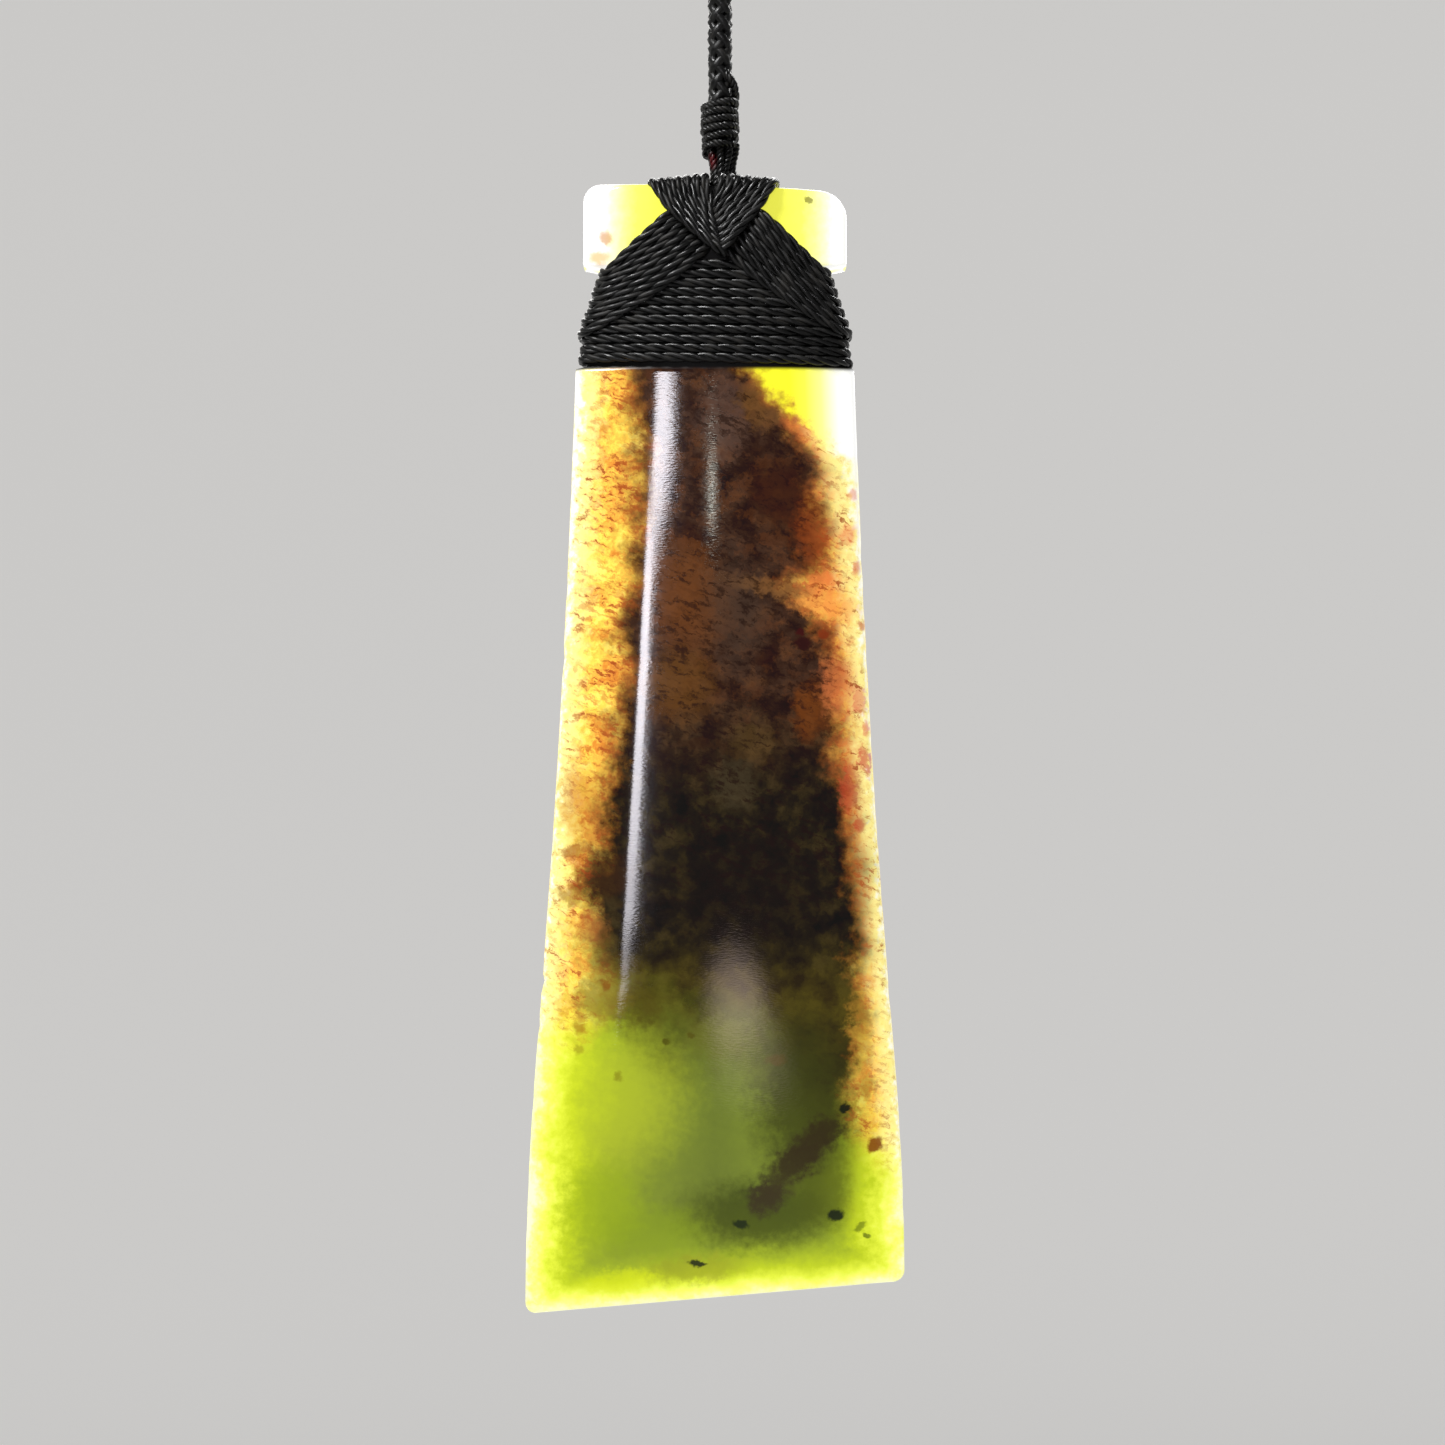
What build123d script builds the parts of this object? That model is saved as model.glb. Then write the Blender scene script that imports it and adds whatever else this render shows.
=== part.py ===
from build123d import *
from math import cos, pi, radians, sin, tan
import os

# A toki: an adze-shaped greenstone pendant, lashed round its neck with waxed
# cord and hung on a braided necklace. Millimetres, +Z up, and the polished
# front faces -Y, with +X to the right of someone who looks at it. The origin
# is where the necklace hangs, on top of the peg that its loop goes over.

# Stone
stone_height = 88.4        # butt to cutting edge, down the middle
head_height = 6.2          # butt to the outer end of the head's underside
neck_length = 7.6          # groove that the lashing fills
head_width = 20.9
neck_top_width = 15.2
neck_bottom_width = 20.5
waist_width = 22.1         # just below the lashing
edge_width = 30.4          # along the cutting edge
stone_thickness = 7.5      # at the thickest place
front_share = 0.54         # of the thickness that is in front of the middle plane
flank_thickness = 3.6      # the flat sides, between the two crowned faces
shoulder_width = 6.5       # rounded band between the flat of a face and its flank
flank_radius = 0.55        # rounding of the long edges
edge_bevel = 0.3           # on the cutting edge and the butt
head_corner_left = 1.3
head_corner_right = 2.2
edge_slant = 5.0           # degrees, the cutting edge is lower on the left
butt_slant = 1.5           # degrees, the butt is lower on the right
underside_slant = 12.0     # degrees, the head's underside runs up and outwards
stone_shift = -0.4         # middle of the stone, beside the cord

# Cord
strand = 0.8               # waxed thread of the lashing
braid = 1.9                # necklace, a round braid of four threads
necklace_length = 640.0    # free braid, from the whipping round and back to it
peg_radius = 6.0           # what the loop hangs over
groove_width = 0.16        # lines between strands
groove_depth = 0.26
lay_gap = 0.05             # between a layer of cord and what lies under it

# Lashing, in the front view: across from the middle of the stone, and down
# from the butt
turn_count = 10
turn_valley = 0.55         # share of the strand that is left between two turns
bundle_strands = 7
bundle_top_width = 5.2     # between the upper strands of both shoulders, under the saddle
bundle_top_depth = 1.0
bundle_low_depth = 5.1     # the lowest strands, at the middle
bundle_side_top = 6.4      # the upper strand, where it goes round the side
bundle_side_low = 11.9     # and the lowest
saddle_top_width = 10.0
saddle_waist_width = 7.6
saddle_waist_depth = 1.8
saddle_tip_width = 1.1
saddle_tip_depth = 5.4
saddle_tip_shift = 0.5
saddle_chevrons = 5

# Whipping on both legs of the necklace, and the stem between it and the saddle
whipping_length = 5.0
whipping_cover = 0.5       # thickness of its thread
whipping_turns = 8
whipping_valley = 0.4      # share of the cover that is left between two turns
stem_length = 1.9
stem_width = 2.1

# Worked out
front_crown = stone_thickness * front_share
back_crown = stone_thickness - front_crown
neck_top = head_height + tan(radians(underside_slant)) * (head_width - neck_top_width) / 2
neck_bottom = neck_top + neck_length
blade_length = stone_height - neck_bottom
leg_spread = braid / 2 + lay_gap
loop_radius = peg_radius + braid / 2
leg_length = (necklace_length - pi * loop_radius) / 2
whipping_top = braid / 2 - loop_radius - leg_length
stem_top = whipping_top - whipping_length
saddle_top = stem_top - stem_length
butt_z = saddle_top - strand - lay_gap
turn_grow = lay_gap + strand
bundle_grow = turn_grow + lay_gap + strand
saddle_grow = bundle_grow + lay_gap + strand
through = 4 * stone_thickness  # depth of what is cut right through the stone
front = Plane(origin=(stone_shift, 0, butt_z), x_dir=(1, 0, 0), z_dir=(0, -1, 0))

# Blade, from under the lashing to the cutting edge
blade_stations = [
    # along, flare, crown, flank, slant
    (0.00, 0.00, 0.92, 1.00, 0.00),
    (0.25, 0.19, 1.00, 1.00, 0.00),
    (0.46, 0.40, 0.98, 0.96, 0.05),
    (0.66, 0.66, 0.87, 0.84, 0.22),
    (0.81, 0.87, 0.65, 0.68, 0.52),
    (0.92, 0.97, 0.39, 0.48, 0.80),
    (1.00, 1.00, 0.19, 0.32, 1.00),
]

# Neck, from the head's underside to the bottom of the lashing: a little less
# crowned than the head and the blade, so that the thread has a groove to lie in
neck_stations = [
    # along, widening, crown, flank
    (0.00, 0.00, 0.84, 1.20),
    (0.31, 0.34, 0.86, 1.16),
    (0.63, 0.79, 0.88, 1.08),
    (1.00, 1.00, 0.90, 1.00),
]
butt_crown = 0.80          # share of the thickness at the butt
butt_flank = 0.95
head_crown = 0.86          # the same at the head's underside
head_flank = 1.24
band_share = 0.8           # most of half the width that the rounded band may take
flat_fall = 0.45           # share of the fall to the flank that a full-width flat would have
arc_share = 0.98           # of the loop's radius, so that both arcs fit over the peg


def level(depth, slant=0.0):
    # A plane across the stone at a depth below the butt, tilted about Y
    tilt = radians(slant)
    return Plane(
        origin=(stone_shift, 0, butt_z - depth),
        x_dir=(cos(tilt), 0, sin(tilt)),
        z_dir=(-sin(tilt), 0, cos(tilt)),
    )


def section(plane, width, crown, flank, grow=0.0):
    # Across the stone: a crowned front and back, each a flat arc with a rounded
    # band on either side of it, and straight flanks. It grows for each layer.
    half = width / 2 + grow
    flat = half - min(shoulder_width, band_share * half)
    rounding = flank_radius * min(1, flank) + grow
    with BuildSketch(plane) as shape:
        with BuildLine():
            for side, full in ((-1, front_crown), (1, back_crown)):
                top = full * crown + grow
                edge = flank_thickness * flank * full / stone_thickness + grow
                flat_drop = flat_fall * (top - edge) * (flat / half) ** 2
                slope = 2 * flat_drop / flat
                ThreePointArc((-flat, side * (top - flat_drop)), (0, side * top),
                              (flat, side * (top - flat_drop)))
                for hand in (-1, 1):
                    TangentArc((hand * flat, side * (top - flat_drop)), (hand * half, side * edge),
                               tangent=(hand, -side * slope))
            for hand in (-1, 1):
                Line((hand * half, -flank_thickness * flank * front_share - grow),
                     (hand * half, flank_thickness * flank * (1 - front_share) + grow))
        make_face()
        corners = shape.vertices().group_by(Axis.X)
        fillet(corners[0] + corners[-1], max(rounding, flank_radius / 4))
    return shape.sketch


def between(share, column):
    # A column of the neck's table, straight from row to row
    for upper, lower in zip(neck_stations, neck_stations[1:]):
        if share <= lower[0]:
            part = (share - upper[0]) / (lower[0] - upper[0])
            return upper[column] + part * (lower[column] - upper[column])
    return neck_stations[-1][column]


def neck_section(depth, grow):
    # Across the neck, also a little above and below it with the nearest width
    share = min(max((depth - neck_top) / neck_length, 0), 1)
    width = neck_top_width + between(share, 1) * (neck_bottom_width - neck_top_width)
    return section(level(depth), width, between(share, 2), between(share, 3), grow)


def neck_envelope(grow, top, bottom):
    # The neck grown by a layer of cord, between two depths
    inside = [neck_top + row[0] * neck_length for row in neck_stations]
    depths = [top] + [depth for depth in inside if top < depth < bottom] + [bottom]
    with BuildPart() as envelope:
        for depth in depths:
            add(neck_section(depth, grow))
        loft(ruled=True)
    return envelope.part


def front_prism(points, corners=()):
    # An outline in the front view, pushed right through from front to back
    with BuildPart() as prism:
        with BuildSketch(front) as outline:
            with BuildLine():
                Polyline(*[(x, -depth) for x, depth in points], close=True)
            make_face()
            for (x, depth), radius in corners:
                fillet(outline.vertices().sort_by_distance((x, -depth))[0], radius)
        extrude(amount=through / 2, both=True)
    return prism.part


def head_block(grow):
    # The head, with its rounded top corners and slanted underside
    half = head_width / 2 + grow
    neck_half = neck_top_width / 2 - grow
    drop = tan(radians(butt_slant)) * half
    left, right = (-half, -drop - grow), (half, drop - grow)
    outline = front_prism(
        [left, right, (half, head_height + grow), (neck_half, neck_top + grow),
         (-neck_half, neck_top + grow), (-half, head_height + grow)],
        [(left, head_corner_left + grow), (right, head_corner_right + grow)],
    )
    with BuildPart() as head:
        add(section(level(-drop - grow - edge_bevel), head_width, butt_crown, butt_flank, grow - edge_bevel))
        add(section(level(edge_bevel), head_width, butt_crown, butt_flank, grow))
        add(section(level(neck_top + grow), head_width, head_crown, head_flank, grow))
        loft(ruled=True)
        add(outline, mode=Mode.INTERSECT)
    return head.part


def finish(piece, name):
    # Each piece is one solid, with its name, in a file of its own
    piece.part.label = name
    print(f"{name}: {piece.part.volume:.1f} mm3")
    export_step(piece.part, f"parts/{name}.step")


os.makedirs("parts", exist_ok=True)

# The stone: blade, neck and head in one
head = head_block(0)
neck = neck_envelope(0, neck_top, neck_bottom)
with BuildPart() as toki_blade:
    for along, flare, crown, flank, slant in blade_stations:
        width = waist_width + flare * (edge_width - waist_width)
        depth = neck_bottom + along * (blade_length - edge_bevel)
        add(section(level(depth, edge_slant * slant), width, crown, flank))
    loft()
    add(section(level(stone_height - edge_bevel, edge_slant), edge_width, crown, flank))
    add(section(level(stone_height, edge_slant), edge_width, crown, flank, -edge_bevel))
    loft(ruled=True)
    add(neck)
    add(head)
finish(toki_blade, "toki_blade")

# Level turns round the neck, each a rounded rib
turn_pitch = (neck_length - 2 * lay_gap) / turn_count
neck_room = neck_envelope(lay_gap, neck_top - lay_gap, neck_bottom + lay_gap)
with BuildPart() as neck_binding:
    for turn in range(turn_count):
        for step, cover in ((0, turn_valley), (0.5, 1), (1, turn_valley)):
            depth = neck_top + lay_gap + (turn + step) * turn_pitch
            add(neck_section(depth, lay_gap + cover * strand))
        loft()
    add(neck_room, mode=Mode.SUBTRACT)
finish(neck_binding, "neck_binding")


def bundle_line(share, hand):
    # A line of a shoulder from under the saddle to the side and straight on past
    # it: 0 is its upper edge and 1 its lower one
    inner = bundle_top_width / 2 + share * (lay_gap - bundle_top_width / 2)
    top = bundle_top_depth + share * (bundle_low_depth - bundle_top_depth)
    outer = neck_top_width / 2 + strand + share * strand
    side = bundle_side_top + share * (bundle_side_low - bundle_side_top)
    past = head_width / 2 + bundle_grow
    return [(hand * inner, top), (hand * outer, side), (hand * past, side)]


def bundle_outline(hand):
    return front_prism(bundle_line(0, hand) + bundle_line(1, hand)[::-1])


def groove_cut(paths, core):
    # Narrow grooves along paths in the front view, only as deep as the core
    with BuildPart() as cut:
        with BuildSketch(front):
            with BuildLine():
                for path in paths:
                    Polyline(*[(x, -depth) for x, depth in path])
            trace(line_width=groove_width)
        extrude(amount=through / 2, both=True)
        add(core, mode=Mode.SUBTRACT)
    return cut.part


# Shoulders: a slanting strap of strands from the saddle down round each side of
# the neck and up the back, over the turns
head_room = head_block(lay_gap)
turn_room = neck_envelope(turn_grow + lay_gap, neck_top, neck_bottom + strand)
bundle_body = neck_envelope(bundle_grow, 0, neck_bottom)
bundle_core = neck_envelope(bundle_grow - groove_depth, 0, neck_bottom)
for hand, name in ((-1, "left_shoulder_binding"), (1, "right_shoulder_binding")):
    outline = bundle_outline(hand)
    lines = [bundle_line(row / bundle_strands, hand) for row in range(1, bundle_strands)]
    grooves = groove_cut(lines, bundle_core)
    with BuildPart() as shoulder_binding:
        add(bundle_body)
        add(outline, mode=Mode.INTERSECT)
        add(turn_room, mode=Mode.SUBTRACT)
        add(head_room, mode=Mode.SUBTRACT)
        add(grooves, mode=Mode.SUBTRACT)
    finish(shoulder_binding, name)


def saddle_body(inset=0.0):
    # Thin over the butt, and thicker down to the tip, where it lies on the rest
    over_butt = strand + lay_gap
    rows = [
        # depth, grow
        (-over_butt + inset, turn_grow - strand / 2 - inset),
        (strand / 2 - over_butt + inset, turn_grow - inset),
        (saddle_waist_depth, (turn_grow + saddle_grow) / 2 - inset),
        (saddle_tip_depth, saddle_grow - inset),
        (neck_top + strand, saddle_grow - inset),
    ]
    with BuildPart() as body:
        for depth, grow in rows:
            share = min(max(depth / neck_top, 0), 1)
            crown = butt_crown + share * (head_crown - butt_crown)
            flank = butt_flank + share * (head_flank - butt_flank)
            add(section(level(depth), head_width, crown, flank, grow))
        loft(ruled=True)
    return body.part


def saddle_edge(share):
    # One side of the saddle from its top to its tip, and of the chevrons inside it
    half_tip = share * saddle_tip_width / 2
    left = [(-share * saddle_top_width / 2, -strand - lay_gap),
            (-share * saddle_waist_width / 2, share * saddle_waist_depth),
            (share * saddle_tip_shift - half_tip, share * saddle_tip_depth)]
    right = [(share * saddle_tip_shift + half_tip, share * saddle_tip_depth),
             (share * saddle_waist_width / 2, share * saddle_waist_depth),
             (share * saddle_top_width / 2, -strand - lay_gap)]
    return left + right


# Saddle: strands from both sides crossing down to a point, front and back, and
# over the butt
saddle_outline = front_prism(saddle_edge(1))
chevrons = [saddle_edge(row / (saddle_chevrons + 1)) for row in range(1, saddle_chevrons + 1)]
chevron_cut = groove_cut(chevrons, saddle_body(groove_depth))
bundle_room = neck_envelope(bundle_grow + lay_gap, -strand, neck_bottom + strand)
with BuildPart() as bundles_room:
    add(bundle_outline(-1))
    add(bundle_outline(1))
    add(bundle_room, mode=Mode.INTERSECT)
with BuildPart() as top_binding:
    add(saddle_body())
    add(saddle_outline, mode=Mode.INTERSECT)
    add(head_room, mode=Mode.SUBTRACT)
    add(turn_room, mode=Mode.SUBTRACT)
    add(bundles_room.part, mode=Mode.SUBTRACT)
    add(chevron_cut, mode=Mode.SUBTRACT)
finish(top_binding, "top_binding")

# Whipping round both legs of the necklace, and the stem that goes to the saddle
whipping_pitch = whipping_length / whipping_turns
with BuildPart() as cord_whipping:
    for turn in range(whipping_turns):
        for step, cover in ((0, whipping_valley), (0.5, 1), (1, whipping_valley)):
            wide = braid + 2 * cover * whipping_cover
            with BuildSketch(Plane.XY.offset(stem_top + (turn + step) * whipping_pitch)):
                SlotOverall(wide + 2 * leg_spread, wide, rotation=90)
        loft()
    with BuildSketch(Plane.XY.offset(saddle_top)):
        SlotOverall(stem_width + 2 * leg_spread - braid / 2, stem_width, rotation=90)
    extrude(amount=stem_length)
finish(cord_whipping, "cord_whipping")

# Necklace: two legs pulled straight by the pendant, round the peg at the top.
# Both ends start inside the whipping's top face and are cut level with it.
cord_route = [
    (0, -leg_spread, whipping_top - braid),
    (0, -loop_radius, braid / 2),
    (0, loop_radius, braid / 2),
    (0, leg_spread, whipping_top - braid),
]
corner_radii = [arc_share * loop_radius] * 2
with BuildPart() as necklace_cord:
    with BuildLine() as cord_line:
        FilletPolyline(*cord_route, radius=corner_radii)
    with BuildSketch(Plane(origin=cord_line.line @ 0, z_dir=cord_line.line % 0)):
        Circle(braid / 2)
    sweep()
    split(bisect_by=Plane.XY.offset(whipping_top), keep=Keep.TOP)
finish(necklace_cord, "necklace_cord")
print("corner radii", corner_radii)
print("free braid", necklace_cord.part.volume / (pi * braid ** 2 / 4), "mm of", necklace_length)
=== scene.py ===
import math
from functools import partial

import bpy
import numpy as np
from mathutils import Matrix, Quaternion, Vector


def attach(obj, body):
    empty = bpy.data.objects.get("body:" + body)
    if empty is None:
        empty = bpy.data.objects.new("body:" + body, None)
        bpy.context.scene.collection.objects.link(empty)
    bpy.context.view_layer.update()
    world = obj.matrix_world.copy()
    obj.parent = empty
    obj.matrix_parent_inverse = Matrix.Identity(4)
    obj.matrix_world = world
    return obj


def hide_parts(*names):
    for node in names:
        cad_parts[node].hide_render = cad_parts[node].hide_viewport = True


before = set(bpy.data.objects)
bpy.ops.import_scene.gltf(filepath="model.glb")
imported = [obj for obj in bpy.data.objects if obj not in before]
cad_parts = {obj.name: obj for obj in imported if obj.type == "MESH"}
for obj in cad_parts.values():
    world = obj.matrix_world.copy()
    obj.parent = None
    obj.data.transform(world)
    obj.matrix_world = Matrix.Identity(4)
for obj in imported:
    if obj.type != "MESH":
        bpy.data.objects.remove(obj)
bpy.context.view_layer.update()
mm = 0.001
body = "root"

# The camera stands where the photograph was taken, level and square to the stone
photoView = {
    "eye": (0.0002, -0.280, -0.36533),
    "lens": 87.2,
    "sensor": 36.0,
    "clip": (0.01, 50.0),
    # the stone is lit by its own glow, so a few bounces are enough
    "bounces": {"max_bounces": 3, "diffuse_bounces": 0, "glossy_bounces": 2},
}


def addObject(name, data):
    thing = bpy.data.objects.new(name, data)
    bpy.context.collection.objects.link(thing)
    return thing


def makeCamera():
    data = bpy.data.cameras.new("photoCamera")
    data.lens, data.sensor_width = photoView["lens"], photoView["sensor"]
    data.clip_start, data.clip_end = photoView["clip"]
    camera = addObject("photoCamera", data)
    camera.location = photoView["eye"]
    camera.rotation_euler = (math.pi / 2, 0, 0)
    scene = bpy.context.scene
    scene.camera = camera
    scene.view_settings.view_transform = "Standard"
    for name, count in photoView["bounces"].items():
        setattr(scene.cycles, name, count)
    print("camera placed")


def setInputs(node, inputs):
    # A socket is linked, and anything else becomes the input's own value
    for key, value in inputs.items():
        if isinstance(value, bpy.types.NodeSocket):
            node.id_data.links.new(value, node.inputs[key])
        else:
            node.inputs[key].default_value = value


def addNode(tree, kind, inputs=None, **settings):
    node = tree.nodes.new(kind)
    for key, value in settings.items():
        setattr(node, key, value)
    setInputs(node, inputs or {})
    return node


def addAfter(kind, inputs, output=0, **settings):
    # A node in the same tree as the sockets that it is linked to
    tree = next(value.id_data for value in inputs.values() if isinstance(value, bpy.types.NodeSocket))
    return addNode(tree, kind, inputs, **settings).outputs[output]


def sums(operation, *values):
    return addAfter("ShaderNodeMath", dict(enumerate(values)), operation=operation)


plus, minus, divided, timesPlus = [
    partial(sums, operation) for operation in ("ADD", "SUBTRACT", "DIVIDE", "MULTIPLY_ADD")]


def times(first, *others):
    for other in others:
        first = sums("MULTIPLY", first, other)
    return first


def vectorSums(operation, first, second):
    other = "Scale" if operation == "SCALE" else 1
    return addAfter("ShaderNodeVectorMath", {0: first, other: second}, operation=operation)


def centred(noise):
    return vectorSums("SUBTRACT", noise, (0.5, 0.5, 0.5))


def combine(x=0.0, y=0.0, z=0.0):
    return addAfter("ShaderNodeCombineXYZ", {"X": x, "Y": y, "Z": z})


def axisOf(vector, axis):
    return addAfter("ShaderNodeSeparateXYZ", {0: vector}, axis)


def noiseOf(place, scale, detail=2.0, roughness=0.5, output=0):
    inputs = {"Vector": place, "Scale": scale, "Detail": detail, "Roughness": roughness}
    return addAfter("ShaderNodeTexNoise", inputs, output)


def fade(value, low, high, start=0.0, end=1.0):
    # Goes smoothly from start to end while the value goes from low to high
    inputs = {0: value, 1: low, 2: high, 3: start, 4: end}
    return addAfter("ShaderNodeMapRange", inputs, interpolation_type="SMOOTHSTEP")


def eggAt(place, middle, size, turn=0.0):
    # 1 in the middle of an egg shape, 0 from its edge out
    inputs = {"Vector": place, "Location": middle, "Rotation": (0.0, turn, 0.0), "Scale": size}
    inside = addAfter("ShaderNodeMapping", inputs, vector_type="TEXTURE")
    return addAfter("ShaderNodeTexGradient", {"Vector": inside}, "Fac", gradient_type="SPHERICAL")


def bumpFrom(height, strength, distance):
    return addAfter("ShaderNodeBump", {"Strength": strength, "Distance": distance, "Height": height})


def attributeOf(tree, name, output="Fac"):
    return addNode(tree, "ShaderNodeAttribute", attribute_name=name).outputs[output]


def objectPlace(tree):
    return addNode(tree, "ShaderNodeTexCoord").outputs["Object"]


def tint(red, green, blue):
    # A colour as a screen shows it, 0 to 255, for a socket
    shares = [c / 255 for c in (red, green, blue)]
    return (*[c / 12.92 if c <= 0.04045 else ((c + 0.055) / 1.055) ** 2.4 for c in shares], 1.0)


def mixColour(share, under, over, kind="MIX"):
    return addAfter("ShaderNodeMix", {0: share, 6: under, 7: over}, 2, data_type="RGBA", blend_type=kind)


def paint(under, share, *colour):
    return mixColour(share, under, tint(*colour))


def ramp(value, *stops):
    # Each stop is a share and then a colour as a screen shows it
    node = addNode(value.id_data, "ShaderNodeValToRGB", {"Fac": value})
    elements = node.color_ramp.elements
    while len(elements) < len(stops):
        elements.new(0.5)
    for element, (share, *colour) in zip(elements, stops):
        element.position = share
        element.color = tint(*colour)
    return node.outputs[0]


def startMaterial(name):
    material = bpy.data.materials.new(name)
    material.use_nodes = True
    tree = material.node_tree
    return material, tree, next(n for n in tree.nodes if n.type == "BSDF_PRINCIPLED")


strandInputs = {
    "Path": "Geometry",
    "Strands": "Int",
    "Strand radius": "Float",
    "Lay radius": "Float",
    "Turn length": "Float",
    "Weave": "Float",
    "Uneven": "Float",
    "Step": "Float",
    "Sides": "Int",
    "Thread": "Material",
}
lumpScale = 900.0  # lumps in a metre of thread
lumpShift = 17.3  # moves the lumps on from strand to strand, so that no two have the same


def strandTree(name, counterLaid):
    tree = bpy.data.node_groups.new(name, "GeometryNodeTree")
    tree.is_modifier = True
    for label, kind in strandInputs.items():
        tree.interface.new_socket(name=label, in_out="INPUT", socket_type=f"NodeSocket{kind}")
    tree.interface.new_socket(name="Geometry", in_out="OUTPUT", socket_type="NodeSocketGeometry")
    given = addNode(tree, "NodeGroupInput").outputs

    def add(kind, inputs=None, output=0, **settings):
        return addNode(tree, f"GeometryNode{kind}", inputs, **settings).outputs[output]

    line = add("MeshToCurve", {"Mesh": given["Path"]})
    even = add("ResampleCurve", {"Curve": line, "Length": given["Step"]}, mode="LENGTH")
    copies = addNode(tree, "GeometryNodeDuplicateElements", {"Geometry": even, "Amount": given["Strands"]},
                     domain="SPLINE").outputs
    index = copies["Duplicate Index"]
    along = add("SplineParameter", output="Length")
    turn = divided(times(along, 2 * math.pi), given["Turn length"])
    if counterLaid:  # half of the strands go one way round and half the other, over and under
        half = divided(given["Strands"], 2.0)
        way = timesPlus(sums("FLOOR", divided(index, half)), -2.0, 1.0)
        phase = divided(times(sums("MODULO", index, half), 2 * math.pi), half)
    else:
        half = way = 1.0
        phase = divided(times(index, 2 * math.pi), given["Strands"])
    angle = timesPlus(turn, way, phase)
    swing = times(sums("COSINE", times(turn, half)), given["Weave"])
    reach = timesPlus(swing, way, given["Lay radius"])
    normal = add("InputNormal")
    sideways = vectorSums("CROSS_PRODUCT", add("InputTangent"), normal)
    outX = vectorSums("SCALE", normal, times(sums("COSINE", angle), reach))
    outY = vectorSums("SCALE", sideways, times(sums("SINE", angle), reach))
    lumpPlace = vectorSums("SCALE", add("InputPosition"), lumpScale)
    lumps = noiseOf(vectorSums("ADD", lumpPlace, combine(times(index, lumpShift))), 1.0, 1.0, output=1)
    wobble = vectorSums("SCALE", centred(lumps), given["Uneven"])
    offset = vectorSums("ADD", vectorSums("ADD", outX, outY), wobble)
    # the material's fibres follow these two attributes
    marked = add("StoreNamedAttribute", {"Geometry": copies[0], "Name": "along", "Value": along},
                 data_type="FLOAT", domain="POINT")
    laid = add("SetPosition", {"Geometry": marked, "Offset": offset})
    ring = add("CurvePrimitiveCircle", {"Resolution": given["Sides"], "Radius": given["Strand radius"]})
    around = add("InputPosition")
    ring = add("StoreNamedAttribute", {"Geometry": ring, "Name": "around", "Value": around},
               data_type="FLOAT_VECTOR", domain="POINT")
    tube = add("CurveToMesh", {"Curve": laid, "Profile Curve": ring, "Fill Caps": True})
    smooth = add("SetShadeSmooth", {"Geometry": tube})
    real = add("RealizeInstances", {"Geometry": smooth})
    dressed = add("SetMaterial", {"Geometry": real, "Material": given["Thread"]})
    addNode(tree, "NodeGroupOutput", {"Geometry": dressed})
    return tree


def printTriangles(piece):
    print(f"{piece.name}: {sum(len(f.vertices) - 2 for f in piece.data.polygons)} triangles")


def chainObject(name, chains):
    # One open line of edges for each chain of points, in metres
    points, edges = [], []
    for chain in chains:
        first = len(points)
        points += [tuple(p) for p in chain]
        edges += [(first + i, first + i + 1) for i in range(len(chain) - 1)]
    mesh = bpy.data.meshes.new(name)
    mesh.from_pydata(points, edges, [])
    return addObject(name, mesh)


def layStrands(name, chains, tree, settings, material):
    piece = chainObject(name, chains)
    modifier = piece.modifiers.new("strands", "NODES")
    modifier.node_group = tree
    values = dict(settings, Thread=material)
    for item in tree.interface.items_tree:
        if item.in_out == "INPUT" and item.name in values:
            modifier[item.identifier] = values[item.name]
    depsgraph = bpy.context.evaluated_depsgraph_get()
    mesh = bpy.data.meshes.new_from_object(
        piece.evaluated_get(depsgraph), preserve_all_data_layers=True, depsgraph=depsgraph)
    piece.modifiers.clear()
    old = piece.data
    piece.data = mesh
    bpy.data.meshes.remove(old)
    mesh.name = name
    printTriangles(piece)
    return piece


waxedThread = {
    "black": tint(9, 9, 8),
    "worn": tint(52, 49, 44),
    "roughness": (0.31, 0.57),  # where the wax is whole and where it is worn
    "waxScale": 900.0,
    "shine": 0.36,
    "fibreScale": (9000.0, 900.0),  # round a strand and along it
    "fibreHeight": 0.00003,
    "fibreBump": 0.6,
    # a spot of red on the left of the stem, in metres
    "spotColour": (78, 6, 12),
    "spotPlace": (-0.0006, -0.0012, -0.3206),
    "spotSize": (0.00048, 0.002, 0.0009),
}


def makeThreadMaterial(name):
    material, tree, shader = startMaterial(name)
    roundIt, alongIt = waxedThread["fibreScale"]
    around = vectorSums("SCALE", attributeOf(tree, "around", "Vector"), roundIt)
    lengthwise = combine(z=times(attributeOf(tree, "along"), alongIt))
    fibre = noiseOf(vectorSums("ADD", around, lengthwise), 1.0, 3.0, 0.6)
    place = objectPlace(tree)
    wax = noiseOf(place, waxedThread["waxScale"], 2.0, 0.6)
    dusty = fade(times(fibre, wax), 0.26, 0.42, 0.0, 0.45)
    colour = mixColour(dusty, waxedThread["black"], waxedThread["worn"])
    spot = fade(eggAt(place, waxedThread["spotPlace"], waxedThread["spotSize"]), 0.0, 0.8)
    setInputs(shader, {
        "Base Color": paint(colour, spot, *waxedThread["spotColour"]),
        "Roughness": fade(wax, 0.40, 0.64, *waxedThread["roughness"]),
        "Specular IOR Level": waxedThread["shine"],
        "Normal": bumpFrom(fibre, waxedThread["fibreBump"], waxedThread["fibreHeight"]),
    })
    return material


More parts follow.
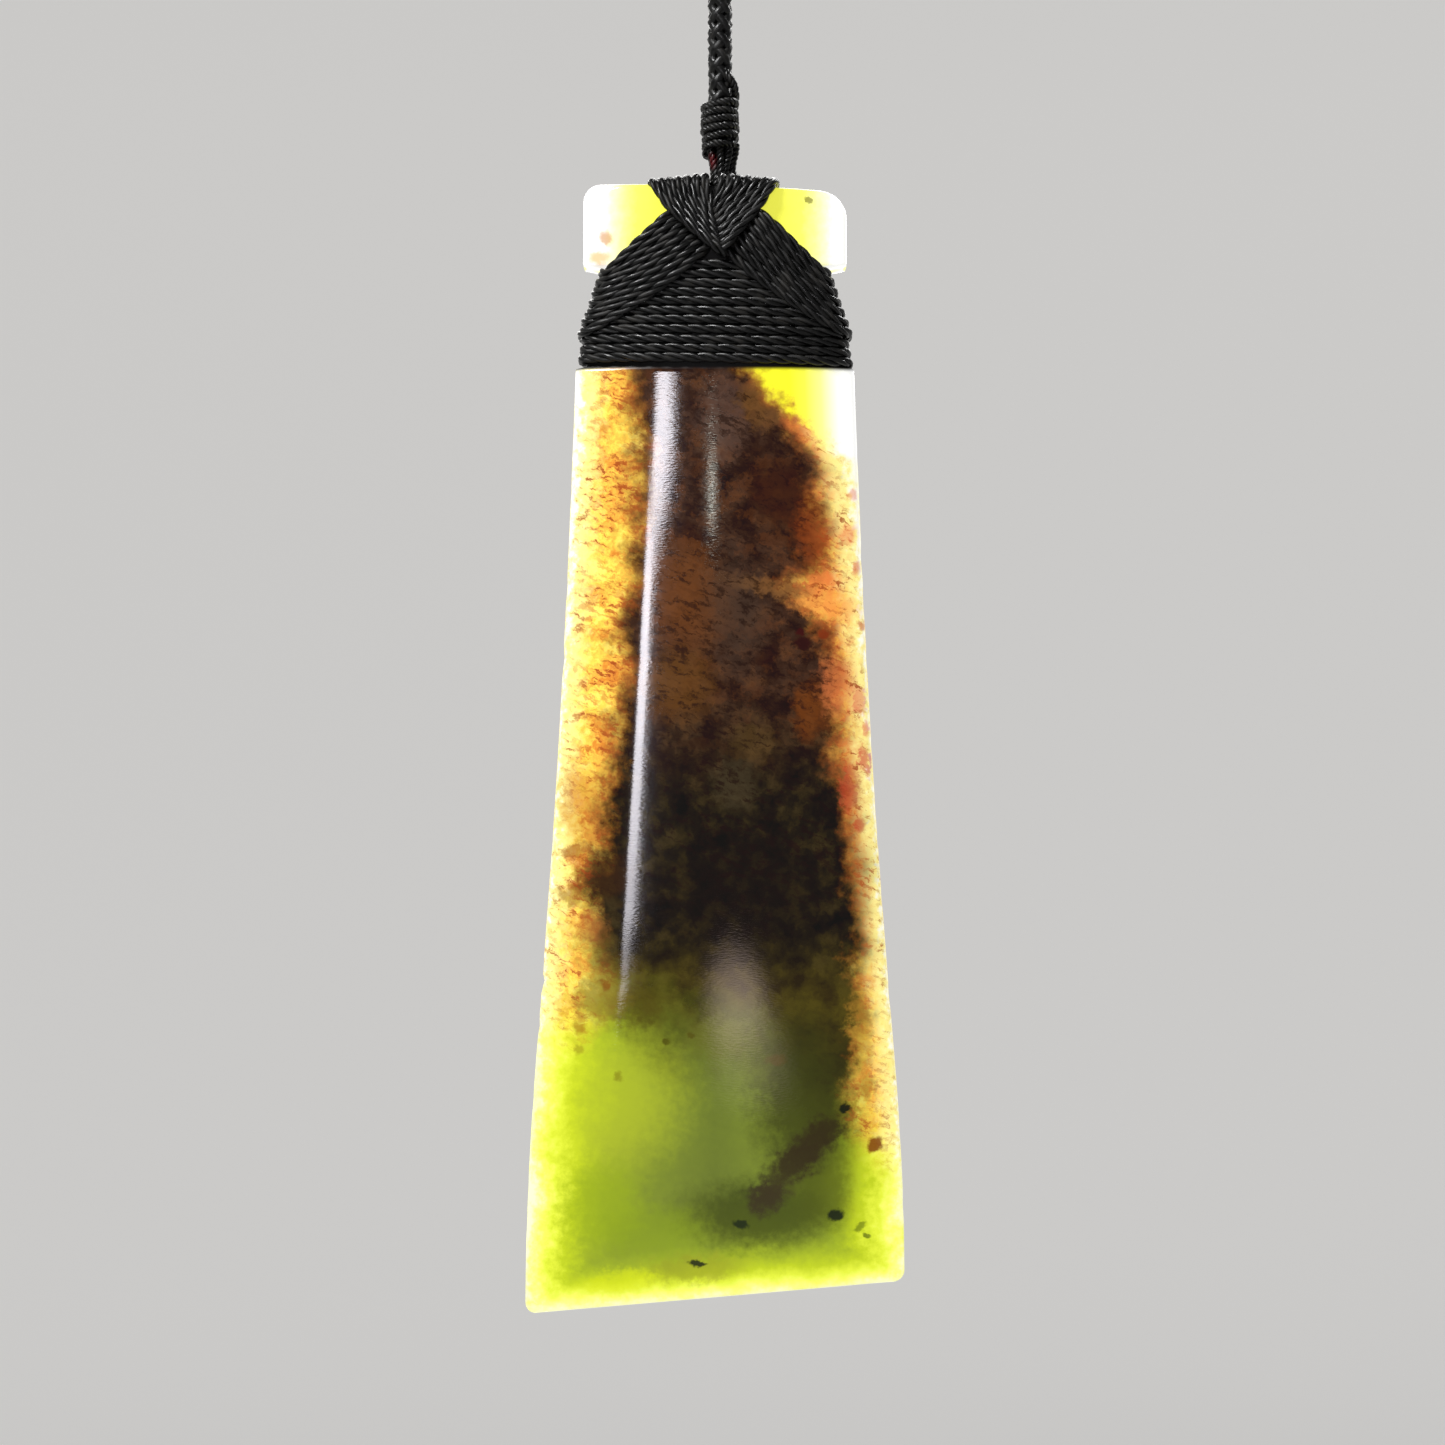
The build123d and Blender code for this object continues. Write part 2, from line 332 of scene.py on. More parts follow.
# The stone, in millimetres: depths are below the middle of the butt
toki = {
    "buttZ": -322.83,
    "shift": -0.4,
    "height": 88.4,
    "headWidth": 20.9,
    "headCrown": (0.80, 0.86),  # at the butt and at the head's underside
    "headFlank": (0.95, 1.24),
    "underCut": 0.5,  # taken off the head's width at its underside
    "neckTop": 6.806,
    "neckBottom": 14.406,
    "neckTopWidth": 15.2,
    "neckBottomWidth": 20.5,
    "waistWidth": 22.1,
    "edgeWidth": 30.4,
    "frontCrown": 4.05,
    "backCrown": 3.45,
    "flankThickness": 3.6,
    "shoulderWidth": 6.5,
    "bandShare": 0.8,
    "flatFall": 0.45,
    "flankRadius": 0.55,
    "edgeSlant": 5.0,
    "buttSlant": -1.5,
    "buttSlantEnds": 5.0,
    "cornersAtButt": (1.3, 2.2),
    "cornersAtEdge": (0.9, 0.9),
    "bevel": 0.3,
    "facePoints": (16, 18),  # across the nearly flat middle and round the band beside it
    "roundPoints": 5,
    "flankPoints": 5,
    "rimLightFade": 3.0,  # how fast the painted rim light ends across the flank
}

bladeStations = np.array([
    # along, flare, crown, flank, slant
    (0.00, 0.00, 0.92, 1.00, 0.00),
    (0.25, 0.19, 1.00, 1.00, 0.00),
    (0.46, 0.40, 0.98, 0.96, 0.05),
    (0.66, 0.66, 0.87, 0.84, 0.22),
    (0.81, 0.87, 0.65, 0.68, 0.52),
    (0.92, 0.97, 0.39, 0.48, 0.80),
    (1.00, 1.00, 0.19, 0.32, 1.00),
])
neckStations = np.array([
    # along, widening, crown, flank
    (0.00, 0.00, 0.84, 1.20),
    (0.31, 0.34, 0.86, 1.16),
    (0.63, 0.79, 0.88, 1.08),
    (1.00, 1.00, 0.90, 1.00),
])


def between(low, high, share):
    return low + (high - low) * share


def smoothRow(table, share):
    # A row between the table's rows, on a smooth line through them
    share = min(max(share, 0.0), 1.0)
    slopes = np.gradient(table[:, 1:], table[:, 0], axis=0)
    i = min(int(np.searchsorted(table[:, 0], share, side="right")) - 1, len(table) - 2)
    span = table[i + 1, 0] - table[i, 0]
    t = (share - table[i, 0]) / span
    return ((2 * t**3 - 3 * t**2 + 1) * table[i, 1:] + (t**3 - 2 * t**2 + t) * span * slopes[i]
            + (3 * t**2 - 2 * t**3) * table[i + 1, 1:] + (t**3 - t**2) * span * slopes[i + 1])


def neckAt(depth):
    top, bottom = toki["neckTop"], toki["neckBottom"]
    share = min(max((depth - top) / (bottom - top), 0), 1)
    widening, crown, flank = [np.interp(share, neckStations[:, 0], neckStations[:, k]) for k in (1, 2, 3)]
    return between(toki["neckTopWidth"], toki["neckBottomWidth"], widening), crown, flank


def sectionAt(depth):
    # width, crown, flank and slant of the stone at a depth
    top, bottom = toki["neckTop"], toki["neckBottom"]
    if depth >= bottom:
        flare, crown, flank, slant = smoothRow(bladeStations, (depth - bottom) / (toki["height"] - bottom))
        return between(toki["waistWidth"], toki["edgeWidth"], flare), crown, flank, slant * toki["edgeSlant"]
    if depth >= top:
        return (*neckAt(depth), 0.0)
    share = max(depth, 0) / top
    slant = toki["buttSlant"] * max(0, 1 - depth / toki["buttSlantEnds"])
    return toki["headWidth"], between(*toki["headCrown"], share), between(*toki["headFlank"], share), slant


def halfFace(width, full, crown, flank, flatPoints, bandPoints):
    # From the middle of a face out to the flank: x and height above the middle plane
    half = width / 2
    flat = half - min(toki["shoulderWidth"], toki["bandShare"] * half)
    top = full * crown
    edge = toki["flankThickness"] * flank * full / (toki["frontCrown"] + toki["backCrown"])
    drop = toki["flatFall"] * (top - edge) * (flat / half) ** 2
    slope = 2 * drop / flat
    x = np.linspace(0, flat, flatPoints, endpoint=False)
    nearlyFlat = np.stack([x, top - drop * (x / flat) ** 2], 1)
    # the band is an arc that leaves the flat along its slope
    start, end = np.array([flat, top - drop]), np.array([half, edge])
    inward = np.array([-slope, -1.0]) / math.hypot(slope, 1)
    radius = (end - start) @ (end - start) / (2 * inward @ (end - start))
    centre = start + inward * radius
    first, last = [math.atan2(*(p - centre)[::-1]) for p in (start, end)]
    angle = np.linspace(first, last, bandPoints)
    return np.concatenate([nearlyFlat, centre + radius * np.stack([np.cos(angle), np.sin(angle)], 1)])


def respaced(points, count, cut=0.0):
    # The same open line with its points spaced evenly, and short of its end where it is cut
    run = np.concatenate([[0], np.cumsum(np.linalg.norm(np.diff(points, axis=0), axis=1))])
    want = np.linspace(0, run[-1] - cut, count, endpoint=not cut)
    return np.stack([np.interp(want, run, points[:, k]) for k in (0, 1)], 1)


def rounded(before, corner, after, radius):
    # From one side of a corner to the other, on a quadratic curve
    start, end = [corner + (p - corner) / np.linalg.norm(p - corner) * radius for p in (before, after)]
    t = np.linspace(0, 1, toki["roundPoints"])[:, None]
    return (1 - t) ** 2 * start + 2 * t * (1 - t) * corner + t**2 * end


def halfOutline(width, crown, flank):
    # The right half of a section, from the middle of the front round to the middle of the back
    flatPoints, bandPoints = toki["facePoints"]
    radius = toki["flankRadius"] * min(1, flank)
    front = halfFace(width, toki["frontCrown"], crown, flank, flatPoints, bandPoints) * (1, -1)
    back = halfFace(width, toki["backCrown"], crown, flank, flatPoints, bandPoints)
    intoFlank = rounded(front[-2], front[-1], back[-1], radius)
    outOfFlank = rounded(front[-1], back[-1], back[-2], radius)
    side = np.linspace(intoFlank[-1], outOfFlank[0], toki["flankPoints"] + 2)[1:-1]
    front, back = [np.concatenate([face[:flatPoints], respaced(face[flatPoints:], bandPoints - 1, radius)])
                   for face in (front, back)]
    return np.concatenate([front, intoFlank, side, outOfFlank, back[::-1]])


def outward(points):
    # Unit normals of an open half outline that starts and ends on the middle plane
    run = np.gradient(points, axis=0)
    run[0], run[-1] = (1, 0), (-1, 0)
    normal = np.stack([run[:, 1], -run[:, 0]], 1)
    return normal / np.linalg.norm(normal, axis=1)[:, None]


necklace = {
    "route": [
        # metres, from the whipping up the front leg, over the peg and down the back leg
        (0, -0.0010, -0.31508),
        (0, -0.006735, -0.01045),
        (0, -0.00695, 0.00095),
        (0, 0.00695, 0.00095),
        (0, 0.006735, -0.01045),
        (0, 0.0010, -0.31508),
    ],
    "length": 0.640,
    "diameter": 0.0019,
    "tuck": 0.0019,  # braid that goes on inside the whipping
    "plait": {"Strands": 6, "Strand radius": 0.00039, "Lay radius": 0.00054, "Turn length": 0.0040,
              "Weave": 0.00009, "Uneven": 0.00022, "Step": 0.00032, "Sides": 7},
    "core": {"Strands": 3, "Strand radius": 0.00026, "Lay radius": 0.00026, "Turn length": 0.004,
             "Weave": 0.0, "Uneven": 0.0, "Step": 0.0006, "Sides": 7},
}


def readRoute():
    curve = bpy.data.curves.new("necklaceRoute", "CURVE")
    curve.dimensions = "3D"
    spline = curve.splines.new("NURBS")
    spline.points.add(len(necklace["route"]) - 1)
    for point, place in zip(spline.points, necklace["route"]):
        point.co = (*place, 1)
    spline.order_u = 3
    spline.use_endpoint_u = True
    spline.resolution_u = 24
    holder = addObject("necklaceRoute", curve)
    depsgraph = bpy.context.evaluated_depsgraph_get()
    mesh = bpy.data.meshes.new_from_object(holder.evaluated_get(depsgraph), depsgraph=depsgraph)
    points = [v.co.copy() for v in mesh.vertices]
    bpy.data.meshes.remove(mesh)
    bpy.data.objects.remove(holder)
    return points


def makeNecklace(plaitTree, twistTree, material):
    points = readRoute()
    down = Vector((0, 0, -necklace["tuck"]))
    line = [points[0] + down, *points, points[-1] + down]
    cord = layStrands("necklaceBraid", [line], plaitTree, necklace["plait"], material)
    core = layStrands("necklaceCore", [line], twistTree, necklace["core"], material)
    for piece in (cord, core):
        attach(piece, body)
    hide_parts("necklace_cord")
    print("necklace laid")


# The lashing, in millimetres: a share runs from the innermost thread of a bundle or saddle to the outermost
lashing = {
    "thread": {"Strands": 3, "Strand radius": 0.000208, "Lay radius": 0.000208, "Turn length": 0.0042,
               "Weave": 0.0, "Uneven": 0.00012, "Step": 0.00028, "Sides": 7},
    "saddleRadius": 0.000195,  # a saddle strand's, drawn thinner
    "strand": 0.8,
    "gap": 0.05,
    "wobble": 0.05,
    "turns": 11,
    "perTurn": 120,
    "firstTurn": 5.95,  # depth of the first turn in the middle of a face
    "lastTurn": 14.12,
    "highestAtSide": 7.15,
    "sidePitch": 0.3,  # the first turns are squeezed together at the sides
    "sideTurns": 4,
    "squeezedOut": (0.10, 3),  # how far the first turns stand out, and how many of them
    "bundle": 7,
    "bundlePoints": 100,
    "bundleEnd": (3.2, 0.3),  # from the middle of a face
    "bundleTop": (1.6, 5.1),  # depth of that end
    "bundleSide": (6.4, 11.9),  # depth at the side of the neck
    "bundleSag": 1.25,  # more depth towards the side
    "headEdge": (9.8, 6.7),  # half width and underside of the head, where a thread lies on it
    "tucked": 0.42,  # height over the stone of what lies under other threads
    "saddleShares": (1.0, 0.86, 0.72, 0.58, 0.44, 0.30, 0.16),
    "rightArmIn": 0.05,  # share by which the right arm lies inside the left one
    "saddleHeight": ((-0.45, 1.8, 5.4), (0.5, 1.2, 1.8)),  # depths, and heights over the stone there
    "saddleDip": 0.9,  # how much lower the innermost thread lies
    "mound": 0.55,  # how much higher it passes over the butt
}


def wander(rng, count, knots):
    # A slow random line through a few knots, for thread that isn't laid quite even
    return np.interp(np.linspace(0, knots, count), np.arange(knots + 1), rng.normal(0, 1, knots + 1))


outlines = {}  # round the neck, by depth


def neckOutline(depth, count=120):
    # Points and normals round half the neck, evenly spaced and with the side in the middle of the list
    key = round(max(depth, toki["neckTop"]), 2)
    if key not in outlines:
        points = halfOutline(*neckAt(key))
        side = int(np.argmax(points[:, 1] >= 0))
        even = np.concatenate([respaced(points[:side + 1], count), respaced(points[side:], count)[1:]])
        outlines[key] = even, outward(even)
    return outlines[key]


def neckPoint(depth, share, grow):
    # share 0 is the middle of the front, 1 the middle of the side and 2 the middle of the back
    outline, normals = neckOutline(depth)
    index = share / 2 * (len(outline) - 1)
    low = min(int(index), len(outline) - 2)
    place, normal = [between(row[low], row[low + 1], index - low) for row in (outline, normals)]
    return place + normal / np.linalg.norm(normal) * grow


def toWorld(x, y, depth):
    return ((x + toki["shift"]) * mm, y * mm, (toki["buttZ"] - depth) * mm)


def cutCorners(points, rounds=3):
    # Cuts the corners of an open line of points, again and again, until it is smooth
    points = [np.array(p, float) for p in points]
    for _ in range(rounds):
        cut = [points[0]]
        for a, b in zip(points, points[1:]):
            cut += [0.75 * a + 0.25 * b, 0.25 * a + 0.75 * b]
        points = cut + [points[-1]]
    return points


def faceHeight(x, depth, side):
    # Height of the head's front (side -1) or back (1) above the middle plane
    width, crown, flank, slant = sectionAt(max(min(depth, toki["neckTop"] - 0.01), 0.05))
    full = toki["frontCrown"] if side < 0 else toki["backCrown"]
    face = halfFace(width, full, crown, flank, 30, 40)
    return float(np.interp(abs(x), face[:, 0], face[:, 1]))


def neckTurns(rng):
    # One thread wound down the neck, level, with the first turns squeezed together at the sides
    perTurn, turns = lashing["perTurn"], lashing["turns"]
    count = turns * perTurn
    drift = wander(rng, count + 1, 4 * turns) * lashing["wobble"]
    pitch = (lashing["lastTurn"] - lashing["firstTurn"]) / turns
    squeezed, squeezedTurns = lashing["squeezedOut"]
    chain = []
    for i in range(count + 1):
        turn = i / perTurn
        part = (turn + 0.5) % 1.0  # both ends are at the back
        share, hand = (part * 4, 1) if part < 0.5 else ((1 - part) * 4, -1)
        middle = lashing["firstTurn"] + pitch * turn
        atSide = max(middle, lashing["highestAtSide"] + lashing["sidePitch"] * turn)
        rise = 0.5 * (1 + math.cos(math.pi * min(share, 2 - share))) if turn < lashing["sideTurns"] else 0.0
        depth = between(atSide, middle, rise) + drift[i] * 0.7
        grow = lashing["gap"] + lashing["strand"] / 2 + abs(drift[i]) * 0.4
        x, y = neckPoint(depth, share, grow + squeezed * max(0, 1 - turn / squeezedTurns))
        chain.append(toWorld(hand * x, y, depth))
    return [chain]


def shoulderStrand(hand, row, rng):
    # From under the saddle at the front, round the side of the neck, and up the back to the saddle again
    share = (row + 0.5) / lashing["bundle"]
    inner, top, side = [between(*lashing[name], share) for name in ("bundleEnd", "bundleTop", "bundleSide")]
    lift = 2 * lashing["gap"] + (1.5 - 0.58 * share**2) * lashing["strand"]
    count = lashing["bundlePoints"]
    drift = wander(rng, count + 1, 9) * lashing["wobble"]
    headHalf, headBottom = lashing["headEdge"]
    points = []
    for i in range(count + 1):
        around = 2 * i / count
        face = -1 if around <= 1 else 1
        toSide = around if around <= 1 else 2 - around
        depth = side
        for _ in range(3):  # the depth and the place across settle together
            far = neckPoint(depth, 1.0, lift)[0] - 0.5
            x, y = neckPoint(depth, around, lift)
            depth = between(top, side, min(1.0, (abs(x) - inner) / (far - inner)))
        depth += lashing["bundleSag"] * max(0, toSide - 0.8) * share
        if abs(x) < inner - 0.3:
            continue
        onHead = min(max((headBottom - depth) / 0.5, 0), 1) if abs(x) < headHalf else 0
        surface = faceHeight(x, depth, face)
        height = surface + lashing["gap"] + lashing["strand"] * 0.55
        if abs(y) < height:
            y += face * (height - abs(y)) * onHead
        y = between(face * (surface + lashing["tucked"]), y, min(max((abs(x) - inner + 0.3) / 1.5, 0), 1))
        points.append((hand * x, y, depth + drift[i]))
    return [toWorld(*p) for p in cutCorners(points, 1)]


def saddleStrand(hand, share):
    # From its end under the other arm at the front, up over the butt and down the back to the same point
    bend = between(0.5, 1.95, share)
    tipX, tipDepth = between(-0.3, 0.5, share), bend + 1.1 + 2.4 * share
    arm = [
        # x, depth, sunk below the layer
        (tipX - hand * 0.2, tipDepth + 0.15, 0.7),
        (tipX + hand * 0.05, tipDepth - 0.05, 0.25),
        (tipX + hand * 0.4, tipDepth - 0.35, 0.0),
        (tipX * 0.6 + hand * 1.5 * share, tipDepth * 0.6 + bend * 0.4, 0.0),
        (hand * 3.55 * share, bend, 0.0),
        (hand * 4.2 * share, bend * 0.5, 0.0),
        (hand * 4.75 * share, 0.0, 0.0),
    ]
    topX = 5.0 * share
    rise, dip = lashing["mound"] * (1 - share), lashing["saddleDip"] * (1 - share)
    halves = []
    for side in (-1, 1):
        line = []
        for x, depth, sunk in arm:
            height = float(np.interp(depth, *lashing["saddleHeight"])) - sunk - dip
            line.append((x, side * (faceHeight(x, depth, side) + max(height, lashing["tucked"])), depth))
        corner = faceHeight(topX, 0, side)
        line.append((hand * 4.9 * share, side * (corner + 0.25), -0.2 - rise * 0.6))
        line.append((hand * topX, side * (corner - 0.9), -0.32 - rise))
        halves.append(line)
    middle = (hand * topX, 0.0, -0.32 - rise)
    return [toWorld(*p) for p in cutCorners(halves[0] + [middle] + halves[1][::-1])]


def makeLashing(twistTree, material):
    rng = np.random.default_rng(7)
    thread = lashing["thread"]
    pieces = [("neckBinding", neckTurns(rng), "neck_binding", thread)]
    for hand, name, node in ((-1, "leftShoulderBinding", "left_shoulder_binding"),
                             (1, "rightShoulderBinding", "right_shoulder_binding")):
        strands = [shoulderStrand(hand, row, rng) for row in range(lashing["bundle"])]
        pieces.append((name, strands, node, thread))
    saddle = []
    for share in lashing["saddleShares"]:
        saddle += [saddleStrand(-1, share), saddleStrand(1, share - lashing["rightArmIn"])]
    thinner = dict(thread, **{"Strand radius": lashing["saddleRadius"]})
    pieces.append(("saddleBinding", saddle, "top_binding", thinner))
    for name, chains, node, settings in pieces:
        piece = layStrands(name, chains, twistTree, settings, material)
        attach(piece, body)
        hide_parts(node)
    print("lashing wound")


# The whipping, in millimetres of the whole frame
whipping = {
    "thread": {"Strands": 3, "Strand radius": 0.000175, "Lay radius": 0.00017, "Turn length": 0.0012,
               "Weave": 0.0, "Uneven": 0.00016, "Step": 0.00015, "Sides": 6},
    "top": -315.08,
    "length": 5.0,
    "turns": 6.6,
    "perTurn": 48,
    "firstAngle": 1.3,
    "halfStraight": 1.0,
    "reach": 1.22,  # from a leg's middle to the thread's middle
    "tilt": 0.30,
    "bulge": ((0.35, -1.55, -313.55), (0.8, -1.75, -314.1), (1.15, -1.45, -314.7)),  # before the first turn
    # strands of the stem: x and y, and how far the strand leans on its way down
    "stem": ((-0.62, -1.15, 0.35), (0.02, -1.42, 0.1), (0.64, -1.15, -0.3), (-0.66, 0.0, 0.2),
             (0.66, 0.05, -0.15), (-0.55, 1.15, 0.3), (0.1, 1.4, 0.0), (0.62, 1.1, -0.25), (1.05, -0.5, 0.1)),
    # down such a strand: shares of its x, y and lean, and the drop from the whipping's foot
    "stemPoints": ((1.25, 1.0, 0.0, -0.9), (1.1, 1.0, 0.0, 0.0), (0.82, 0.85, 0.3, 0.95),
                   (1.0, 0.95, 1.0, 1.9), (1.1, 1.0, 1.0, 2.6)),
}


def whippingTurn(angle):
    # A stadium round both legs: the angle runs once round it, from the front
    x, y = math.sin(angle), -math.cos(angle)
    straight = math.copysign(whipping["halfStraight"], y) * min(1.0, abs(y) * 3)
    return x * whipping["reach"], y * whipping["reach"] + straight


def makeWhipping(twistTree, material):
    rng = np.random.default_rng(11)
    top, length, perTurn = whipping["top"], whipping["length"], whipping["perTurn"]
    count = int(whipping["turns"] * perTurn)
    drift = wander(rng, count + 1, 30) * 0.05
    turns = list(whipping["bulge"])
    for i in range(count + 1):
        share = i / count
        x, y = whippingTurn(2 * math.pi * i / perTurn + whipping["firstAngle"])
        z = top - 0.5 - (length - 0.85) * share + whipping["tilt"] * x * (1 - 0.5 * share)
        grow = 1 + drift[i] - 0.6 * max(0, share - 0.8)
        turns.append((x * grow, y * grow, z + drift[i] * 1.5))
    chains = [turns]
    for x, y, lean in whipping["stem"]:
        chains.append(cutCorners([(x * xShare + lean * leanShare, y * yShare, top - length - drop)
                                  for xShare, yShare, leanShare, drop in whipping["stemPoints"]]))
    chains = [[tuple(c * mm for c in p) for p in chain] for chain in chains]
    piece = layStrands("cordWhipping", chains, twistTree, whipping["thread"], material)
    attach(piece, body)
    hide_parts("cord_whipping")
    print("whipping wound")


def ringRows():
    # Rows down the stone: depth in the middle, distance from the butt or cutting edge, and the place
    top, bottom, height = toki["neckTop"], toki["neckBottom"], toki["height"]
    nearButt = (0.0, 0.02, 0.08, 0.17, 0.3, 0.45, 0.65, 0.9, 1.2, 1.55, 1.9, 2.3)
    nearEdge = (1.3, 1.0, 0.75, 0.55, 0.4, 0.27, 0.17, 0.08, 0.02, 0.0)
    neck = (top, *np.linspace(top + 0.8, bottom - 0.2, 9), bottom)
    blade = np.arange(bottom + 0.4, height - 1.5, 0.5)
    rows = [(d, d, "butt") for d in nearButt]
    rows += [(d, math.inf, "head") for d in (*np.arange(2.7, 6.0, 0.45), 6.0, 6.2)]
    rows += [(6.25, math.inf, "under")]
    rows += [(d, math.inf, "below") for d in (*neck, *blade)]
    return rows + [(height - d, d, "edge") for d in nearEdge]


def cornerCut(radius, distance):
    return radius - math.sqrt(max(radius**2 - (radius - distance) ** 2, 0)) if distance < radius else 0.0


def stoneRing(depth, distance, where, nicks):
    # One row of points round the stone, from the middle of the front round by the right
    width, crown, flank, slant = sectionAt(depth)
    if where == "under":
        width = toki["headWidth"] - toki["underCut"]
    bevel = cornerCut(toki["bevel"], distance)
    half = halfOutline(width, crown, flank)
    half = half - outward(half) * bevel
    half[:, 0] = np.maximum(half[:, 0], 0)
    sides = []
    for hand, radius in zip((-1, 1), toki["cornersAtButt"] if where == "butt" else toki["cornersAtEdge"]):
        cut = max(cornerCut(radius, distance) - bevel, 0)
        cut += sum(deep * math.exp(-((depth - at) / long) ** 2)
                   for side, at, deep, long in nicks if side == hand)
        sides.append(half * (hand * (width / 2 - bevel - cut) / (width / 2 - bevel), 1))
    left, right = sides
    tilt = math.radians(slant)
    ring = np.concatenate([right, left[::-1][1:-1]])
    return [toWorld(x * math.cos(tilt), y, depth - x * math.sin(tilt)) for x, y in ring]


def sideGapOf(depth, x, y):
    # Distance in from the side, which grows again across the flank, so that only its corners get the painted
    # rim light
    width, crown, flank, slant = sectionAt(depth)
    gap = max(width / 2 - abs(x / mm - toki["shift"]), 0)
    inFlank = max(toki["flankThickness"] * flank / 2 - abs(y) / mm, 0)
    return gap + toki["rimLightFade"] * inFlank * max(1 - gap / 0.3, 0)


def ringCorners(rings, count):
    # The two corners on the earlier ring, for every face between closed rings of points
    return [(r * count + k, r * count + (k + 1) % count) for r in range(rings - 1) for k in range(count)]


def smoothMesh(name, points, faces, material):
    mesh = bpy.data.meshes.new(name)
    mesh.from_pydata(points, [], faces)
    mesh.validate()
    mesh.polygons.foreach_set("use_smooth", [True] * len(mesh.polygons))
    mesh.materials.append(material)
    return mesh


def makeStone(material):
    rng = np.random.default_rng(3)
    # side, depth, how deep and how long
    nicks = [(-1, 62.9, 0.20, 0.45), (-1, 66.2, 0.06, 0.5), (-1, 31.5, 0.06, 0.3), (1, 52.0, 0.05, 0.4)]
    nicks += [(rng.choice((-1, 1)), rng.uniform(18, 84), rng.uniform(0.02, 0.05), rng.uniform(0.3, 0.9))
              for _ in range(26)]
    rows = ringRows()
    rings = [stoneRing(*row, nicks) for row in rows]
    count = len(rings[0])
    last = (len(rings) - 1) * count
    faces = [(a, a + count, b + count, b) for a, b in ringCorners(len(rings), count)]
    faces.append(tuple(range(count)))
    faces.append(tuple(last + k for k in reversed(range(count))))
    mesh = smoothMesh("tokiStone", [p for ring in rings for p in ring], faces, material)
    # the distance from the side sets where the painted rim light of the thin edges falls
    gaps = [sideGapOf(row[0], x, y) for row, ring in zip(rows, rings) for x, y, z in ring]
    mesh.attributes.new("sideGap", "FLOAT", "POINT").data.foreach_set("value", gaps)
    piece = addObject("tokiStone", mesh)
    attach(piece, body)
    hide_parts("toki_blade")
    printTriangles(piece)


greenstone = {
    # mm from the middle of the stone, by depth: where the dark core starts on the left and ends on the right
    "coreLeft": ((14, -7.0), (17, -6.2), (21, -5.7), (29, -6.1), (37, -7.0), (45, -7.8), (53, -9.2),
                 (59, -10.2), (63, -9.4), (68, -8.0)),
    "coreRight": ((14, 2.2), (17, 4.3), (20, 6.2), (23, 7.8), (26, 7.6), (29, 7.8), (32, 6.4), (36, 8.6),
                  (41, 9.2), (47, 9.9), (53, 11.0), (60, 11.4), (65, 11.2), (78, 10.0)),
    # depths down to which the dark core and the amber stone reach, from left to right
    "coreFoot": ((-15, 62.5), (-10, 64.0), (-7, 66.5), (-4, 68.5), (0, 68.5), (4, 70.0), (7, 73.5), (10, 76.0),
                 (15, 78.0)),
    "amberFoot": ((-15, 66.5), (-10, 65.5), (-7, 62.0), (-3, 60.0), (4, 60.0), (8, 66.0), (11, 74.0),
                  (15, 77.0)),
    # how far such a line may run across and down, and what is added to start it at 0
    "lineAcross": (30.0, 15.0),
    "lineDown": (90.0, 0.0),
    # strength of the painted glow that stands in for light coming through the stone from behind
    "glow": 0.85,
    "veil": (0.006, 0.006, 0.0065),  # light that the studio's own reflection adds again
    "body": 0.4,  # share of the colour that isn't glow
    "roughness": 0.04,
    "polish": {"turn": 52.0, "stretch": (1.0, 1.0, 4.0), "scale": 2.6, "bump": 0.19, "height": 0.00001},
}

